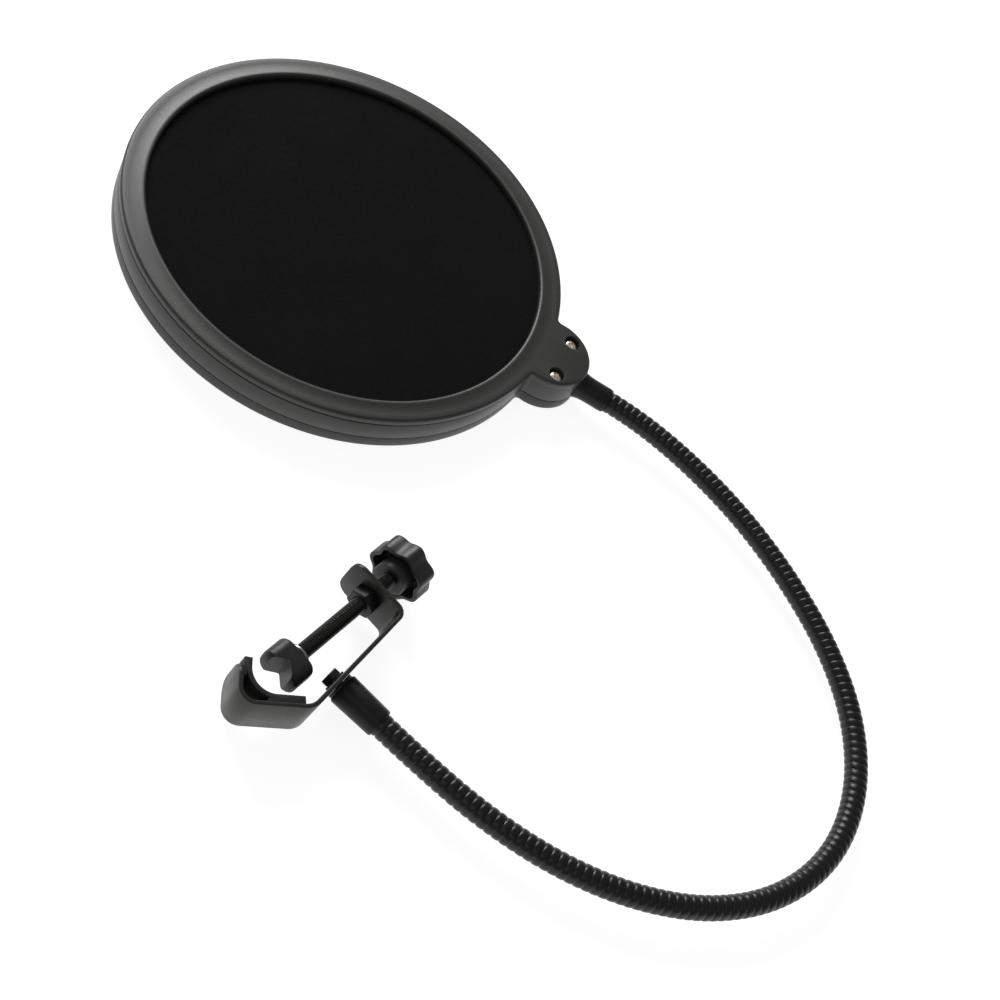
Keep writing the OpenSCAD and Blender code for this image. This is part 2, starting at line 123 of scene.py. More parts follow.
def finish_of(
    name, colour, rough, metal=0.0, grain=900.0, bump=0.02, spread=0.12, specular=0.5,
    weave=None,
):
    """A finish whose colour and roughness vary a little over the piece, with a fine grain."""
    m = bpy.data.materials.new(name)
    m.use_nodes = True
    t = m.node_tree
    t.nodes.clear()
    out = node(t, "ShaderNodeOutputMaterial")
    shader = node(t, "ShaderNodeBsdfPrincipled")
    shader.inputs["Metallic"].default_value = metal
    shader.inputs["Specular IOR Level"].default_value = specular
    place = node(t, "ShaderNodeTexCoord")
    wide = node(t, "ShaderNodeTexNoise")
    wide.inputs["Scale"].default_value = 35.0
    wide.inputs["Detail"].default_value = 4.0
    fine = node(t, "ShaderNodeTexNoise")
    fine.inputs["Scale"].default_value = grain
    fine.inputs["Detail"].default_value = 3.0
    t.links.new(place.outputs["Object"], wide.inputs["Vector"])
    t.links.new(place.outputs["Object"], fine.inputs["Vector"])

    tint = node(t, "ShaderNodeValToRGB")
    low = [c * (1 - spread) for c in colour] + [1]
    high = [min(1, c * (1 + spread)) for c in colour] + [1]
    tint.color_ramp.elements[0].position = 0.3
    tint.color_ramp.elements[0].color = low
    tint.color_ramp.elements[1].position = 0.7
    tint.color_ramp.elements[1].color = high
    t.links.new(wide.outputs["Fac"], tint.inputs["Fac"])
    colour_out = tint.outputs["Color"]

    shine = node(t, "ShaderNodeMapRange")
    shine.inputs["From Min"].default_value = 0.3
    shine.inputs["From Max"].default_value = 0.7
    shine.inputs["To Min"].default_value = rough * 0.9
    shine.inputs["To Max"].default_value = min(1, rough * 1.1)
    t.links.new(fine.outputs["Fac"], shine.inputs["Value"])
    t.links.new(shine.outputs["Result"], shader.inputs["Roughness"])

    height = fine.outputs["Fac"]
    if weave:
        threads = []
        for direction in ("X", "Y"):
            band = node(t, "ShaderNodeTexWave")
            band.bands_direction = direction
            band.inputs["Scale"].default_value = weave
            band.inputs["Distortion"].default_value = 0.6
            band.inputs["Detail"].default_value = 1.0
            t.links.new(place.outputs["Object"], band.inputs["Vector"])
            threads.append(band.outputs["Fac"])
        cross = node(t, "ShaderNodeMath")
        cross.operation = "MAXIMUM"
        t.links.new(threads[0], cross.inputs[0])
        t.links.new(threads[1], cross.inputs[1])
        height = cross.outputs["Value"]
        lit = node(t, "ShaderNodeMapRange")
        lit.inputs["To Min"].default_value = 0.55
        lit.inputs["To Max"].default_value = 1.15
        t.links.new(height, lit.inputs["Value"])
        shade = node(t, "ShaderNodeVectorMath")
        shade.operation = "SCALE"
        t.links.new(colour_out, shade.inputs[0])
        t.links.new(lit.outputs["Result"], shade.inputs["Scale"])
        colour_out = shade.outputs["Vector"]
    t.links.new(colour_out, shader.inputs["Base Color"])

    relief = node(t, "ShaderNodeBump")
    relief.inputs["Strength"].default_value = bump
    relief.inputs["Distance"].default_value = 0.0002
    t.links.new(height, relief.inputs["Height"])
    t.links.new(relief.outputs["Normal"], shader.inputs["Normal"])
    t.links.new(shader.outputs["BSDF"], out.inputs["Surface"])
    return m


FINISH = {
    "hoop_plastic": finish_of(
        "hoop_plastic", (0.0265, 0.0272, 0.0242), 0.42, bump=0.25, grain=2600
    ),
    "inner_plastic": finish_of("inner_plastic", (0.015, 0.015, 0.015), 0.5, bump=0.1),
    "screen_fabric": finish_of(
        "screen_fabric", (0.0072, 0.0071, 0.007), 0.95, specular=0.06, weave=430, bump=0.5
    ),
    "nickel_screws": finish_of(
        "nickel_screws", (0.86, 0.79, 0.66), 0.26, metal=1, bump=0.03, spread=0.05
    ),
    "ferrule_plastic": finish_of(
        "ferrule_plastic", (0.007, 0.007, 0.0065), 0.42, bump=0.12, specular=0.26
    ),
    "neck_steel": finish_of(
        "neck_steel", (0.0055, 0.0055, 0.005), 0.33, bump=0.05, specular=0.38, spread=0.2
    ),
    "insert_brass": finish_of(
        "insert_brass", (0.6, 0.42, 0.16), 0.3, metal=1, bump=0.02, spread=0.05
    ),
    "black_hardware": finish_of(
        "black_hardware", (0.007, 0.007, 0.0075), 0.4, bump=0.05, specular=0.3
    ),
    "bracket_paint": finish_of(
        "bracket_paint", (0.024, 0.0255, 0.0205), 0.36, bump=0.03, grain=500, specular=0.3
    ),
    "liner_rubber": finish_of("liner_rubber", (0.018, 0.018, 0.017), 0.6, bump=0.15, specular=0.3),
    "pad_rubber": finish_of("pad_rubber", (0.014, 0.014, 0.0135), 0.42, bump=0.15, specular=0.35),
    "screw_steel": finish_of("screw_steel", (0.03, 0.029, 0.026), 0.28, metal=0.5, bump=0.04),
    "knob_plastic": finish_of("knob_plastic", (0.02, 0.02, 0.0185), 0.4, bump=0.15, specular=0.4),
    "zinc_steel": finish_of("zinc_steel", (0.3, 0.3, 0.31), 0.35, metal=1, bump=0.03, spread=0.05),
}


# ---- making pieces -------------------------------------------------------------------------


def piece(name, verts, faces, body, slot, matrix=None, flat_above=None):
    """A mesh of points in millimetres, placed by the matrix, that rides on a body."""
    v = np.asarray(verts, float)
    if matrix is not None:
        v = v @ matrix[:3, :3].T + matrix[:3, 3]
    mesh = bpy.data.meshes.new(name)
    mesh.from_pydata((v * MM).tolist(), [], faces)
    mesh.validate()
    o = bpy.data.objects.new(name, mesh)
    bpy.context.scene.collection.objects.link(o)
    b = bmesh.new()
    b.from_mesh(mesh)
    bmesh.ops.remove_doubles(b, verts=b.verts, dist=1e-7)
    bmesh.ops.recalc_face_normals(b, faces=b.faces)
    b.to_mesh(mesh)
    b.free()
    mesh.materials.append(FINISH[slot])
    smooth(o, 35 if flat_above is None else flat_above)
    if body:
        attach(o, body)
    return o


def smooth(o, angle):
    o.data.shade_smooth()
    o.data.set_sharp_from_angle(angle=math.radians(angle))


def loops_mesh(loops, closed_ring=False, cap_start=False, cap_end=False):
    """Points and faces of a skin through loops of points with the same count."""
    n = len(loops[0])
    verts = np.concatenate(loops)
    faces = []
    last = len(loops) if closed_ring else len(loops) - 1
    for k in range(last):
        a, b = k * n, ((k + 1) % len(loops)) * n
        for i in range(n):
            j = (i + 1) % n
            faces.append((a + i, a + j, b + j, b + i))
    if cap_start:
        faces.append(tuple(range(n - 1, -1, -1)))
    if cap_end:
        faces.append(tuple((len(loops) - 1) * n + i for i in range(n)))
    return verts, faces


def circle(r, z, n):
    a = np.arange(n) * TAU / n
    return np.stack([r * np.cos(a), r * np.sin(a), np.full(n, z)], 1)


def lathe(profile, n, closed=False):
    """A body turned about Z from (radius, height) points; an open profile gets its ends closed."""
    loops = [circle(max(r, 1e-4), z, n) for r, z in profile]
    return loops_mesh(loops, closed_ring=closed, cap_start=not closed, cap_end=not closed)


def arc_points(cx, cy, r, a0, a1, n):
    """Points of an arc about (cx, cy), angles in degrees."""
    return [
        (cx + r * math.cos(math.radians(a)), cy + r * math.sin(math.radians(a)))
        for a in np.linspace(a0, a1, n)
    ]


def rounding(r, angles):
    """How far down from the end, and how far in, a rounded edge is at each angle in degrees."""
    turns = [math.radians(a) for a in angles]
    return [(r * (1 - math.sin(a)), r * (1 - math.cos(a))) for a in turns]


def prism(outline, z0, z1):
    p = np.asarray(outline, float)
    low = np.column_stack([p, np.full(len(p), z0)])
    high = np.column_stack([p, np.full(len(p), z1)])
    return loops_mesh([low, high], cap_start=True, cap_end=True)


def soften(o, width, segments=3, angle=30):
    """Rounds the piece's edges."""
    b = o.modifiers.new("round", "BEVEL")
    b.width = width * MM
    b.segments = segments
    b.limit_method = "ANGLE"
    b.angle_limit = math.radians(angle)
    b.harden_normals = False
    return o


def settle(o):
    """Applies the piece's modifiers."""
    dg = bpy.context.evaluated_depsgraph_get()
    mesh = bpy.data.meshes.new_from_object(o.evaluated_get(dg))
    old = o.data
    o.modifiers.clear()
    o.data = mesh
    bpy.data.meshes.remove(old)
    return o


def cut(o, cutters):
    """Takes the cutters' shapes out of a piece that isn't riding yet."""
    for verts, faces, matrix in cutters:
        v = np.asarray(verts, float)
        if matrix is not None:
            v = v @ matrix[:3, :3].T + matrix[:3, 3]
        mesh = bpy.data.meshes.new("cutter")
        mesh.from_pydata((v * MM).tolist(), [], faces)
        c = bpy.data.objects.new("cutter", mesh)
        bpy.context.scene.collection.objects.link(c)
        b = bmesh.new()
        b.from_mesh(mesh)
        bmesh.ops.recalc_face_normals(b, faces=b.faces)
        b.to_mesh(mesh)
        b.free()
        m = o.modifiers.new("cut", "BOOLEAN")
        m.operation = "DIFFERENCE"
        m.solver = "EXACT"
        m.object = c
        settle(o)
        bpy.data.objects.remove(c)
        bpy.data.meshes.remove(mesh)
    return o


def hexagon(across_flats):
    r = across_flats / math.sqrt(3)
    return [(r * math.cos(a * TAU / 6), r * math.sin(a * TAU / 6)) for a in range(6)]


def shifted(m, x=0.0, y=0.0, z=0.0):
    out = m.copy()
    out[:3, 3] = m[:3, :3] @ np.array([x, y, z]) + m[:3, 3]
    return out


# ---- hoop ----------------------------------------------------------------------------------

HOOP_R, OPEN_R, HOOP_T, SEAM, WALL = 77.7, 69.5, 15.0, 4.8, 2.0
TAB_R, TAB_X, TAB_FILLET = 14.0, 79.5, 1.8
TAB_FROM, TAB_TO = 68.0, 75.0


def hoop_outline(inset):
    """The hoop's outer edge with its tab, set in by a distance, as points in order of angle."""
    ring, lobe, fillet = HOOP_R - inset, TAB_R - inset, TAB_FILLET + inset
    reach, arm = ring + fillet, lobe + fillet
    fx = (reach**2 - arm**2 + TAB_X**2) / (2 * TAB_X)
    fy = math.sqrt(reach**2 - fx**2)
    on_ring = math.degrees(math.atan2(fy, fx))
    on_lobe = math.degrees(math.atan2(fy, fx - TAB_X))
    half = arc_points(TAB_X, 0, lobe, 0, on_lobe, 40)
    half += arc_points(fx, fy, fillet, on_lobe + 180, on_ring + 180, 16)[1:]
    half += arc_points(0, 0, ring, on_ring, 180, 150)[1:]
    other = [(x, -y) for x, y in half[-2:0:-1]]
    return np.array(half + other)


def hoop_shell(stations):
    """Loops of a shell from stations.

    ("edge", inset, z) lies on the outer outline, ("line", inset, z) too, but its inset fades out
    round the tab, and ("ring", r, z) lies on a circle.
    """
    base = hoop_outline(0)
    angle = np.arctan2(base[:, 1], base[:, 0])
    loops = []
    for kind, a, z in stations:
        if kind == "edge":
            xy = hoop_outline(a)
        elif kind == "line":
            on_tab = np.clip((base[:, 0] - TAB_FROM) / (TAB_TO - TAB_FROM), 0, 1)[:, None]
            xy = hoop_outline(a) * (1 - on_tab) + hoop_outline(0.06) * on_tab
        else:
            xy = np.stack([a * np.cos(angle), a * np.sin(angle)], 1)
        loops.append(np.column_stack([xy, np.full(len(xy), z)]))
    return loops_mesh(loops, closed_ring=True)


def fillet_stations(kind, centre, z, r, a0, a1, sign, n=5):
    """Stations round an edge: the inset or radius and the height follow an arc."""
    return [
        (kind, centre + sign * r * math.cos(math.radians(a)), z + r * math.sin(math.radians(a)))
        for a in np.linspace(a0, a1, n)
    ]


TAB_SCREWS = [(84.2, 8.4), (84.2, -8.4)]

front = (
    [("ring", OPEN_R, HOOP_T - WALL)]
    + fillet_stations("ring", OPEN_R + 0.9, HOOP_T - 0.9, 0.9, 180, 90, 1)
    + [("ring", OPEN_R + 1.6, HOOP_T), ("ring", OPEN_R + 1.9, HOOP_T - 0.12)]
    + [("ring", HOOP_R - 2.6, HOOP_T - 0.12)]
    + fillet_stations("edge", 1.0, HOOP_T - 1.0, 1.0, 90, 0, -1)
    + [("edge", 0, HOOP_T - 2.3), ("line", 0.1, HOOP_T - 2.42), ("line", 0.55, HOOP_T - 2.5)]
    + [("line", 0.55, HOOP_T - 2.85), ("line", 0.15, HOOP_T - 2.95), ("edge", 0.06, HOOP_T - 3.1)]
    + [("edge", 0.06, SEAM + 0.35), ("edge", 0.15, SEAM + 0.15), ("edge", 0.45, SEAM + 0.02)]
    + [("ring", HOOP_R - WALL, SEAM + 0.02), ("ring", HOOP_R - WALL, HOOP_T - WALL)]
)
verts, faces = hoop_shell(front)
front_shell = piece("front_shell", verts, faces, None, "hoop_plastic", HOOP)
recess = lathe(
    [(2.7, -0.2), (2.7, 2.3), (2.95, 2.62), (2.95, 4)], 48
)
cut(
    front_shell,
    [(recess[0], recess[1], shifted(HOOP, x, y, HOOP_T - 2.6)) for x, y in TAB_SCREWS],
)
smooth(front_shell, 32)
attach(front_shell, "head")
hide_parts("front_hoop")

rear = (
    [("ring", OPEN_R, WALL)]
    + fillet_stations("ring", OPEN_R + 0.6, 0.6, 0.6, 180, 270, 1)
    + fillet_stations("edge", 1.3, 1.3, 1.3, 270, 360, -1)
    + [("edge", 0.06, SEAM - 0.35), ("edge", 0.15, SEAM - 0.15), ("edge", 0.45, SEAM - 0.02)]
    + [("ring", HOOP_R - WALL - 0.1, SEAM - 0.02), ("ring", HOOP_R - WALL - 0.1, SEAM + 1.9)]
    + [("ring", HOOP_R - 3.4, SEAM + 1.9), ("ring", HOOP_R - 3.4, WALL)]
)
verts, faces = hoop_shell(rear)
rear_shell = piece("rear_shell", verts, faces, "head", "hoop_plastic", HOOP, flat_above=32)
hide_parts("rear_hoop")

SCREEN_R = 74.0


def screen(name, cad, z):
    """A woven disc stretched across the hoop."""
    top = [(r, z + 0.2) for r in np.linspace(0.01, SCREEN_R, 26)]
    low = [(r, z - 0.15) for r in np.linspace(SCREEN_R, 0.01, 26)]
    v, f = lathe(top + low, 120, closed=True)
    o = piece(name, v, f, "head", "screen_fabric", HOOP)
    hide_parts(cad)
    return o


screen("screen_front", "front_screen", 12.7)
screen("screen_rear", "rear_screen", 2.3)

# Screws in the tab: domed heads with a cross in them
HEAD_R = 2.35
head = [(0.01, -8), (1.2, -8), (1.2, 0), (HEAD_R - 0.05, 0), (HEAD_R, 0.15), (HEAD_R, 0.75)]
head += [
    (HEAD_R * math.cos(math.radians(a)), 0.75 + 0.85 * math.sin(math.radians(a)))
    for a in range(12, 90, 11)
]
head += [(0.01, 1.6)]
for k, (x, y) in enumerate(TAB_SCREWS):
    where = shifted(HOOP, x, y, HOOP_T - 2.6)
    verts, faces = lathe(head, 40)
    screw = piece(f"tab_screw_{k + 1}", verts, faces, None, "nickel_screws", where)
    arms = []
    for a in (25 + 40 * k, 115 + 40 * k):
        c, s = math.cos(math.radians(a)), math.sin(math.radians(a))
        turn = placed([c, s, 0], [-s, c, 0], [0, 0, 1], [0, 0, 0])
        turn = where @ turn
        v, f = prism([(-1.25, -0.28), (1.25, -0.28), (1.25, 0.28), (-1.25, 0.28)], 0.7, 2)
        arms.append((v, f, turn))
    cut(screw, arms)
    smooth(screw, 30)
    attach(screw, "head")
    if k == 0:
        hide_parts("tab_screws")

# ---- neck ----------------------------------------------------------------------------------

BENDS = 14
NECK_R, GROOVE, PITCH = 3.8, 0.36, 2.67
NAMES = {int(n[-2:]): n for n in JOINT if n.startswith(("neck_bend", "neck_lift"))}
corner = [joint_point(NAMES[i]) for i in range(1, BENDS + 1)]
STUB = np.linalg.norm(corner[1] - corner[0]) / 2
start = corner[0] - STUB * bolt_dir
end_dir = np.array([-1.0, 0.0, 0.0])
end = corner[-1] + STUB * end_dir
mid = [start] + [(a + b) / 2 for a, b in zip(corner[:-1], corner[1:])] + [end]


def arc_through(a, c, b, n):
    """Points and directions of the arc from a to b that has c as its corner, and its length."""
    d0, d1 = (c - a) / np.linalg.norm(c - a), (b - c) / np.linalg.norm(b - c)
    turn = math.acos(max(-1, min(1, float(d0 @ d1))))
    t = np.linspace(0, 1, n)
    if turn < 1e-4:
        return a + t[:, None] * (b - a), np.repeat(d0[None], n, 0), np.linalg.norm(b - a)
    r = np.linalg.norm(c - a) / math.tan(turn / 2)
    side = d1 - (d1 @ d0) * d0
    side /= np.linalg.norm(side)
    w = (t * turn)[:, None]
    return (
        a + r * (np.sin(w) * d0 + (1 - np.cos(w)) * side),
        np.cos(w) * d0 + np.sin(w) * side,
        r * turn,
    )


def rib(phase):
    """Radius of the neck's surface: broad round ribs with narrow grooves between them."""
    x = np.abs((phase % 1.0) - 0.5) * 2
    return NECK_R - GROOVE * x**4 - 0.08 * x**2


def neck_piece(i, run):
    """The ribbed skin from the middle of one stretch to the middle of the next."""
    per_rib, around = 12, 40
    c = corner[i - 1]
    a, b = mid[i - 1], mid[i]
    length = arc_through(a, c, b, 2)[2]
    n = int(round(length / PITCH * per_rib)) + 1
    line, way, length = arc_through(a, c, b, n)
    s = np.linspace(0, length, n)
    tuck = 2.5
    if i == 1:
        more = np.arange(tuck, 0, -PITCH / per_rib)
        line = np.concatenate([a - more[:, None] * way[:1], line])
        way = np.concatenate([np.repeat(way[:1], len(more), 0), way])
        s = np.concatenate([-more, s])
    if i == BENDS:
        more = np.arange(PITCH / per_rib, tuck, PITCH / per_rib)
        line = np.concatenate([line, b + more[:, None] * way[-1:]])
        way = np.concatenate([way, np.repeat(way[-1:], len(more), 0)])
        s = np.concatenate([s, length + more])
    theta = np.arange(around) * TAU / around
    across = np.cross([0, 0, 1], way)
    across /= np.linalg.norm(across, axis=1)[:, None]
    lift = np.cross(way, across)

    def surface(shift_s, shift_a):
        th = theta[None] + shift_a
        r = rib((run + s + shift_s)[:, None] / PITCH + th / TAU)
        base = line + shift_s * way
        return (
            base[:, None]
            + (r * np.cos(th))[..., None] * across[:, None]
            + (r * np.sin(th))[..., None] * lift[:, None]
        )

    e = 0.01
    skin = surface(0, 0)
    normal = np.cross(surface(0, e) - surface(0, -e), surface(e, 0) - surface(-e, 0))
    normal = -normal / np.linalg.norm(normal, axis=2)[..., None]
    outward = skin - line[:, None]
    if np.sum(normal * outward) < 0:
        normal = -normal
    verts, faces = loops_mesh(list(skin))
    mesh = bpy.data.meshes.new(f"neck_{i:02d}")
    mesh.from_pydata((verts * MM).tolist(), [], faces)
    mesh.shade_smooth()
    mesh.normals_split_custom_set_from_vertices(normal.reshape(-1, 3).tolist())
    o = bpy.data.objects.new(f"neck_{i:02d}", mesh)
    bpy.context.scene.collection.objects.link(o)
    mesh.materials.append(FINISH["neck_steel"])
    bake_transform(o)
    stands_for = [f"neck_link_{i:02d}"] if i < BENDS else ["neck_end_upper"]
    if i == 1:
        stands_for.append("neck_end_lower")
    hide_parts(*stands_for)
    return run + length


run = 0.0
for i in range(1, BENDS + 1):
    run = neck_piece(i, run)

# Ferrule at the hoop: flares into the tab
NECK_Z = end[2]
upper_profile = [(5.2, 92.0), (5.1, 93.2), (4.75, 94.2), (4.5, 95.6), (4.38, 97.5), (4.38, 103.6)]
upper_profile += [(4.3, 104.4), (4.12, 104.85), (3.9, 105.0), (3.5, 105.0), (3.5, 92.0)]
verts, faces = lathe(upper_profile, 64, closed=True)
upper_ferrule = piece(
    "ferrule_hoop", verts, faces, "head", "ferrule_plastic",
    turned_to(shifted(HOOP, 0, 0, NECK_Z), "x"),
)
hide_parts("upper_ferrule")

# Ferrule at the clamp
F0, F1, FR = 1.15, 16.15, 4.84
lower_profile = [(3.5, F0), (4.5, F0), (FR - 0.25, F0 + 0.12), (FR, F0 + 0.5)]
lower_profile += [(FR - 0.3, F1 - 0.7), (FR - 0.4, F1 - 0.25), (FR - 0.6, F1), (3.5, F1)]
verts, faces = lathe(lower_profile, 64, closed=True)
lower_ferrule = piece(
    "ferrule_clamp", verts, faces, "neck_base", "ferrule_plastic", turned_to(CLAMP, "x")
)
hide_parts("lower_ferrule")

# Bolt: a chamfered hexagon head
STRIP_T = 1.4
bolt_face = -STRIP_T - 0.05 - 0.6
BOLT_AF, BOLT_HEAD_H, BOLT_R = 5.5, 2.2, 1.48
verts, faces = prism(hexagon(BOLT_AF), bolt_face - BOLT_HEAD_H, bolt_face)
bolt = piece("bolt_head", verts, faces, None, "black_hardware", turned_to(CLAMP, "x"), 20)
soften(bolt, 0.3, 2)
settle(bolt)
smooth(bolt, 20)
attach(bolt, "neck_base")
verts, faces = lathe(
    [(0.01, bolt_face - 1), (BOLT_R, bolt_face - 1), (BOLT_R, 6), (0.01, 6)], 24
)
piece("bolt_shank", verts, faces, "neck_base", "black_hardware", turned_to(CLAMP, "x"))
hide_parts("neck_bolt")

# ---- clamp bracket -------------------------------------------------------------------------

CANT, HALF = 4.5, 42.0
JAW_LONG, JAW_SHORT, ARM_L = 21.5, 12.4, 20.6
BOLT_UP, SPINE_L, STRIP_W = 15.2, 43.9, 16.0


def direction(deg):
    return np.array([math.cos(math.radians(deg)), math.sin(math.radians(deg))])


spine_low = np.array([-STRIP_T / 2, -BOLT_UP])
spine_top = np.array([-STRIP_T / 2, SPINE_L - BOLT_UP])
jaw_corner = spine_low - JAW_LONG * direction(90 - HALF - CANT)
jaw_tip = jaw_corner + JAW_SHORT * direction(90 + HALF - CANT)
arm_tip = spine_top + ARM_L * direction(180 - CANT)


def rounded_path(points, radii, step=0.35):
    """Points along a path with rounded corners, with the length run so far."""
    out = [points[0]]
    for k in range(1, len(points) - 1):
        a, c, b = points[k - 1], points[k], points[k + 1]
        d0, d1 = (c - a) / np.linalg.norm(c - a), (b - c) / np.linalg.norm(b - c)
        turn = math.acos(float(np.clip(d0 @ d1, -1, 1)))
        back = radii[k] * math.tan(turn / 2)
        side = d1 - (d1 @ d0) * d0
        side /= np.linalg.norm(side)
        s = c - back * d0
        for w in np.linspace(0, turn, 15):
            out.append(s + radii[k] * (math.sin(w) * d0 + (1 - math.cos(w)) * side))
    out.append(points[-1])
    dense = [out[0]]
    for p, q in zip(out[:-1], out[1:]):
        n = max(1, int(math.ceil(np.linalg.norm(q - p) / step)))
        dense += [p + (q - p) * j / n for j in range(1, n + 1)]
    dense = np.array(dense)
    run = np.concatenate([[0], np.cumsum(np.linalg.norm(np.diff(dense, axis=0), axis=1))])
    return dense, run


path, run_s = rounded_path(
    [arm_tip, spine_top, spine_low, jaw_corner, jaw_tip], [0, 3.0, 6.0, 4.5, 0]
)
tangent = np.gradient(path, run_s, axis=0)
tangent /= np.linalg.norm(tangent, axis=1)[:, None]
side = np.stack([tangent[:, 1], -tangent[:, 0]], 1)
total = run_s[-1]


def half_width(s):
    """Half the strip's width: its free ends have rounded corners."""
    gap = min(s, total - s)
    r = 4.0
    if gap >= r:
        return STRIP_W / 2
    return STRIP_W / 2 - r + math.sqrt(max(0.0, r * r - (r - gap) ** 2))


loops = []
edge = 0.35
for p, n_, s in zip(path, side, run_s):
    w, h = half_width(s), STRIP_T / 2
    section = [(h, w - edge), (h - 0.1, w - 0.1), (h - edge, w)]
    section += [(-x, y) for x, y in section[::-1]]
    section += [(-x, -y) for x, y in section]
    loops.append(np.array([[p[0] + n_[0] * x, p[1] + n_[1] * x, y] for x, y in section]))
verts, faces = loops_mesh(loops, cap_start=True, cap_end=True)
bracket = piece("bracket", verts, faces, None, "bracket_paint", CLAMP)
bolt_hole = lathe([(1.75, -4), (1.75, 4)], 32)
screw_hole = lathe([(4.02, 50), (4.02, 68)], 48)
cut(
    bracket,
    [
        (bolt_hole[0], bolt_hole[1], turned_to(CLAMP, "x")),
        (screw_hole[0], screw_hole[1], turned_to(JAW, "y")),
    ],
)
smooth(bracket, 40)
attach(bracket, "clamp")
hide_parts("clamp_bracket")

# Rubber in the jaw: feet on the legs and a band across the corner
LINER_T, TROUGH_R, BAND_T, FOOT, LINER_END = 2.3, 7.0, 1.4, 8.2, 19.2
reach = (STRIP_T / 2 + LINER_T + TROUGH_R) / math.sin(math.radians(HALF))


def jaw_leg(side_sign, along, off):
    """A point along a leg of the jaw, off its middle line towards the inside."""
    d = direction(90 - side_sign * HALF)
    inward = np.array([-d[1], d[0]]) * side_sign
    return d * along + inward * off


inner_off = STRIP_T / 2 + LINER_T
on_strip = STRIP_T / 2 + 0.03
SHORT_END = JAW_SHORT + 1.3
outline = [jaw_leg(1, LINER_END, on_strip), jaw_leg(1, LINER_END, inner_off)]
outline += [np.array(p) for p in arc_points(0, reach, TROUGH_R, -HALF, -180 + HALF, 24)]
outline += [jaw_leg(-1, SHORT_END, inner_off), jaw_leg(-1, SHORT_END, on_strip)]
outline += [jaw_leg(-1, FOOT, on_strip), jaw_leg(-1, FOOT, inner_off - BAND_T)]
outline += [
    np.array(p)
    for p in arc_points(0, reach, TROUGH_R + BAND_T, -180 + HALF + 8, -HALF - 8, 24)
]
outline += [jaw_leg(1, FOOT, inner_off - BAND_T), jaw_leg(1, FOOT, on_strip)]
verts, faces = prism(outline, -STRIP_W / 2 + 0.4, STRIP_W / 2 - 0.4)
liner = piece("jaw_rubber", verts, faces, None, "liner_rubber", JAW, 40)
soften(liner, 0.25, 2, 40)
settle(liner)
smooth(liner, 40)
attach(liner, "clamp")
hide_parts("jaw_liner")

# Nut riveted into the arm
arm_mid = float((spine_top - jaw_corner) @ direction(90 - CANT))
ARM_IN, ARM_OUT = arm_mid - STRIP_T / 2, arm_mid + STRIP_T / 2
NUT_AF, NUT_H, NUT_BORE, SPIGOT_R = 8.6, 4.2, 2.56, 3.95
verts, faces = prism(hexagon(NUT_AF), ARM_IN - NUT_H, ARM_IN)
nut = piece("nut", verts, faces, None, "black_hardware", turned_to(JAW, "y"), 20)
bore = lathe([(NUT_BORE, ARM_IN - 6), (NUT_BORE, ARM_OUT + 4)], 40)
cut(nut, [(bore[0], bore[1], turned_to(JAW, "y"))])
soften(nut, 0.4, 3, 40)
settle(nut)
smooth(nut, 20)
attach(nut, "clamp")
verts, faces = lathe(
    [
        (NUT_BORE, ARM_IN - 0.1), (SPIGOT_R, ARM_IN - 0.1), (SPIGOT_R, ARM_OUT + 0.5),
        (SPIGOT_R - 0.25, ARM_OUT + 0.8), (NUT_BORE, ARM_OUT + 0.8),
    ],
    48, closed=True,
)
piece("nut_spigot", verts, faces, "clamp", "black_hardware", turned_to(JAW, "y"))
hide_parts("arm_nut")

# ---- screw, pad and knob -------------------------------------------------------------------

PAD_AT, PAD_DEPTH, PAD_W, PAD_H, PAD_CORNER = 18.8, 8.4, 13.6, 9.6, 3.6
PAD_BACK = PAD_AT + PAD_DEPTH
WEB, CLIP_T, GAP = 3.2, 0.8, 0.05
CLIP_AT = PAD_BACK - WEB - GAP - CLIP_T
SHOULDER = PAD_BACK + 2 * GAP + 0.8
KNOB_AT, KNOB_L, KNOB_R, LOBES, FLUTE = 71.6, 7.2, 10.15, 7, 1.3
SCREW_END = KNOB_AT + KNOB_L - 2.2 - 1


def threaded(s0, s1, r, lead, depth, per=10, around=28):
    """Loops of a threaded rod along Z."""
    n = int((s1 - s0) / lead * per) + 1
    z = np.linspace(s0, s1, n)
    th = np.arange(around) * TAU / around
    loops = []
    for zz in z:
        fade = min(1.0, (zz - s0) / lead, (s1 - zz) / lead)
        ph = (zz / lead - th / TAU) % 1.0
        tri = np.abs(ph - 0.5) * 2
        rr = r - depth * np.clip(tri * 1.25 - 0.12, 0, 1) * fade - (1 - fade) * 0.15
        loops.append(np.stack([rr * np.cos(th), rr * np.sin(th), np.full(around, zz)], 1))
    return loops


loops = [circle(2.0, CLIP_AT - 0.2, 28), circle(2.0, SHOULDER, 28)]
loops += threaded(SHOULDER, SCREW_END, 2.5, 0.8, 0.43)
verts, faces = loops_mesh(loops, cap_start=True, cap_end=True)
screw_rod = piece("screw_rod", verts, faces, "screw", "screw_steel", turned_to(JAW, "y"), 60)
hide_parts("clamp_screw")

# Pad: a block with round corners and a notch across its front
section = []
for cx, cy, a0 in ((1, 1, 0), (-1, 1, 90), (-1, -1, 180), (1, -1, 270)):
    section += arc_points(
        cx * (PAD_W / 2 - PAD_CORNER), cy * (PAD_H / 2 - PAD_CORNER), PAD_CORNER, a0, a0 + 90, 9
    )
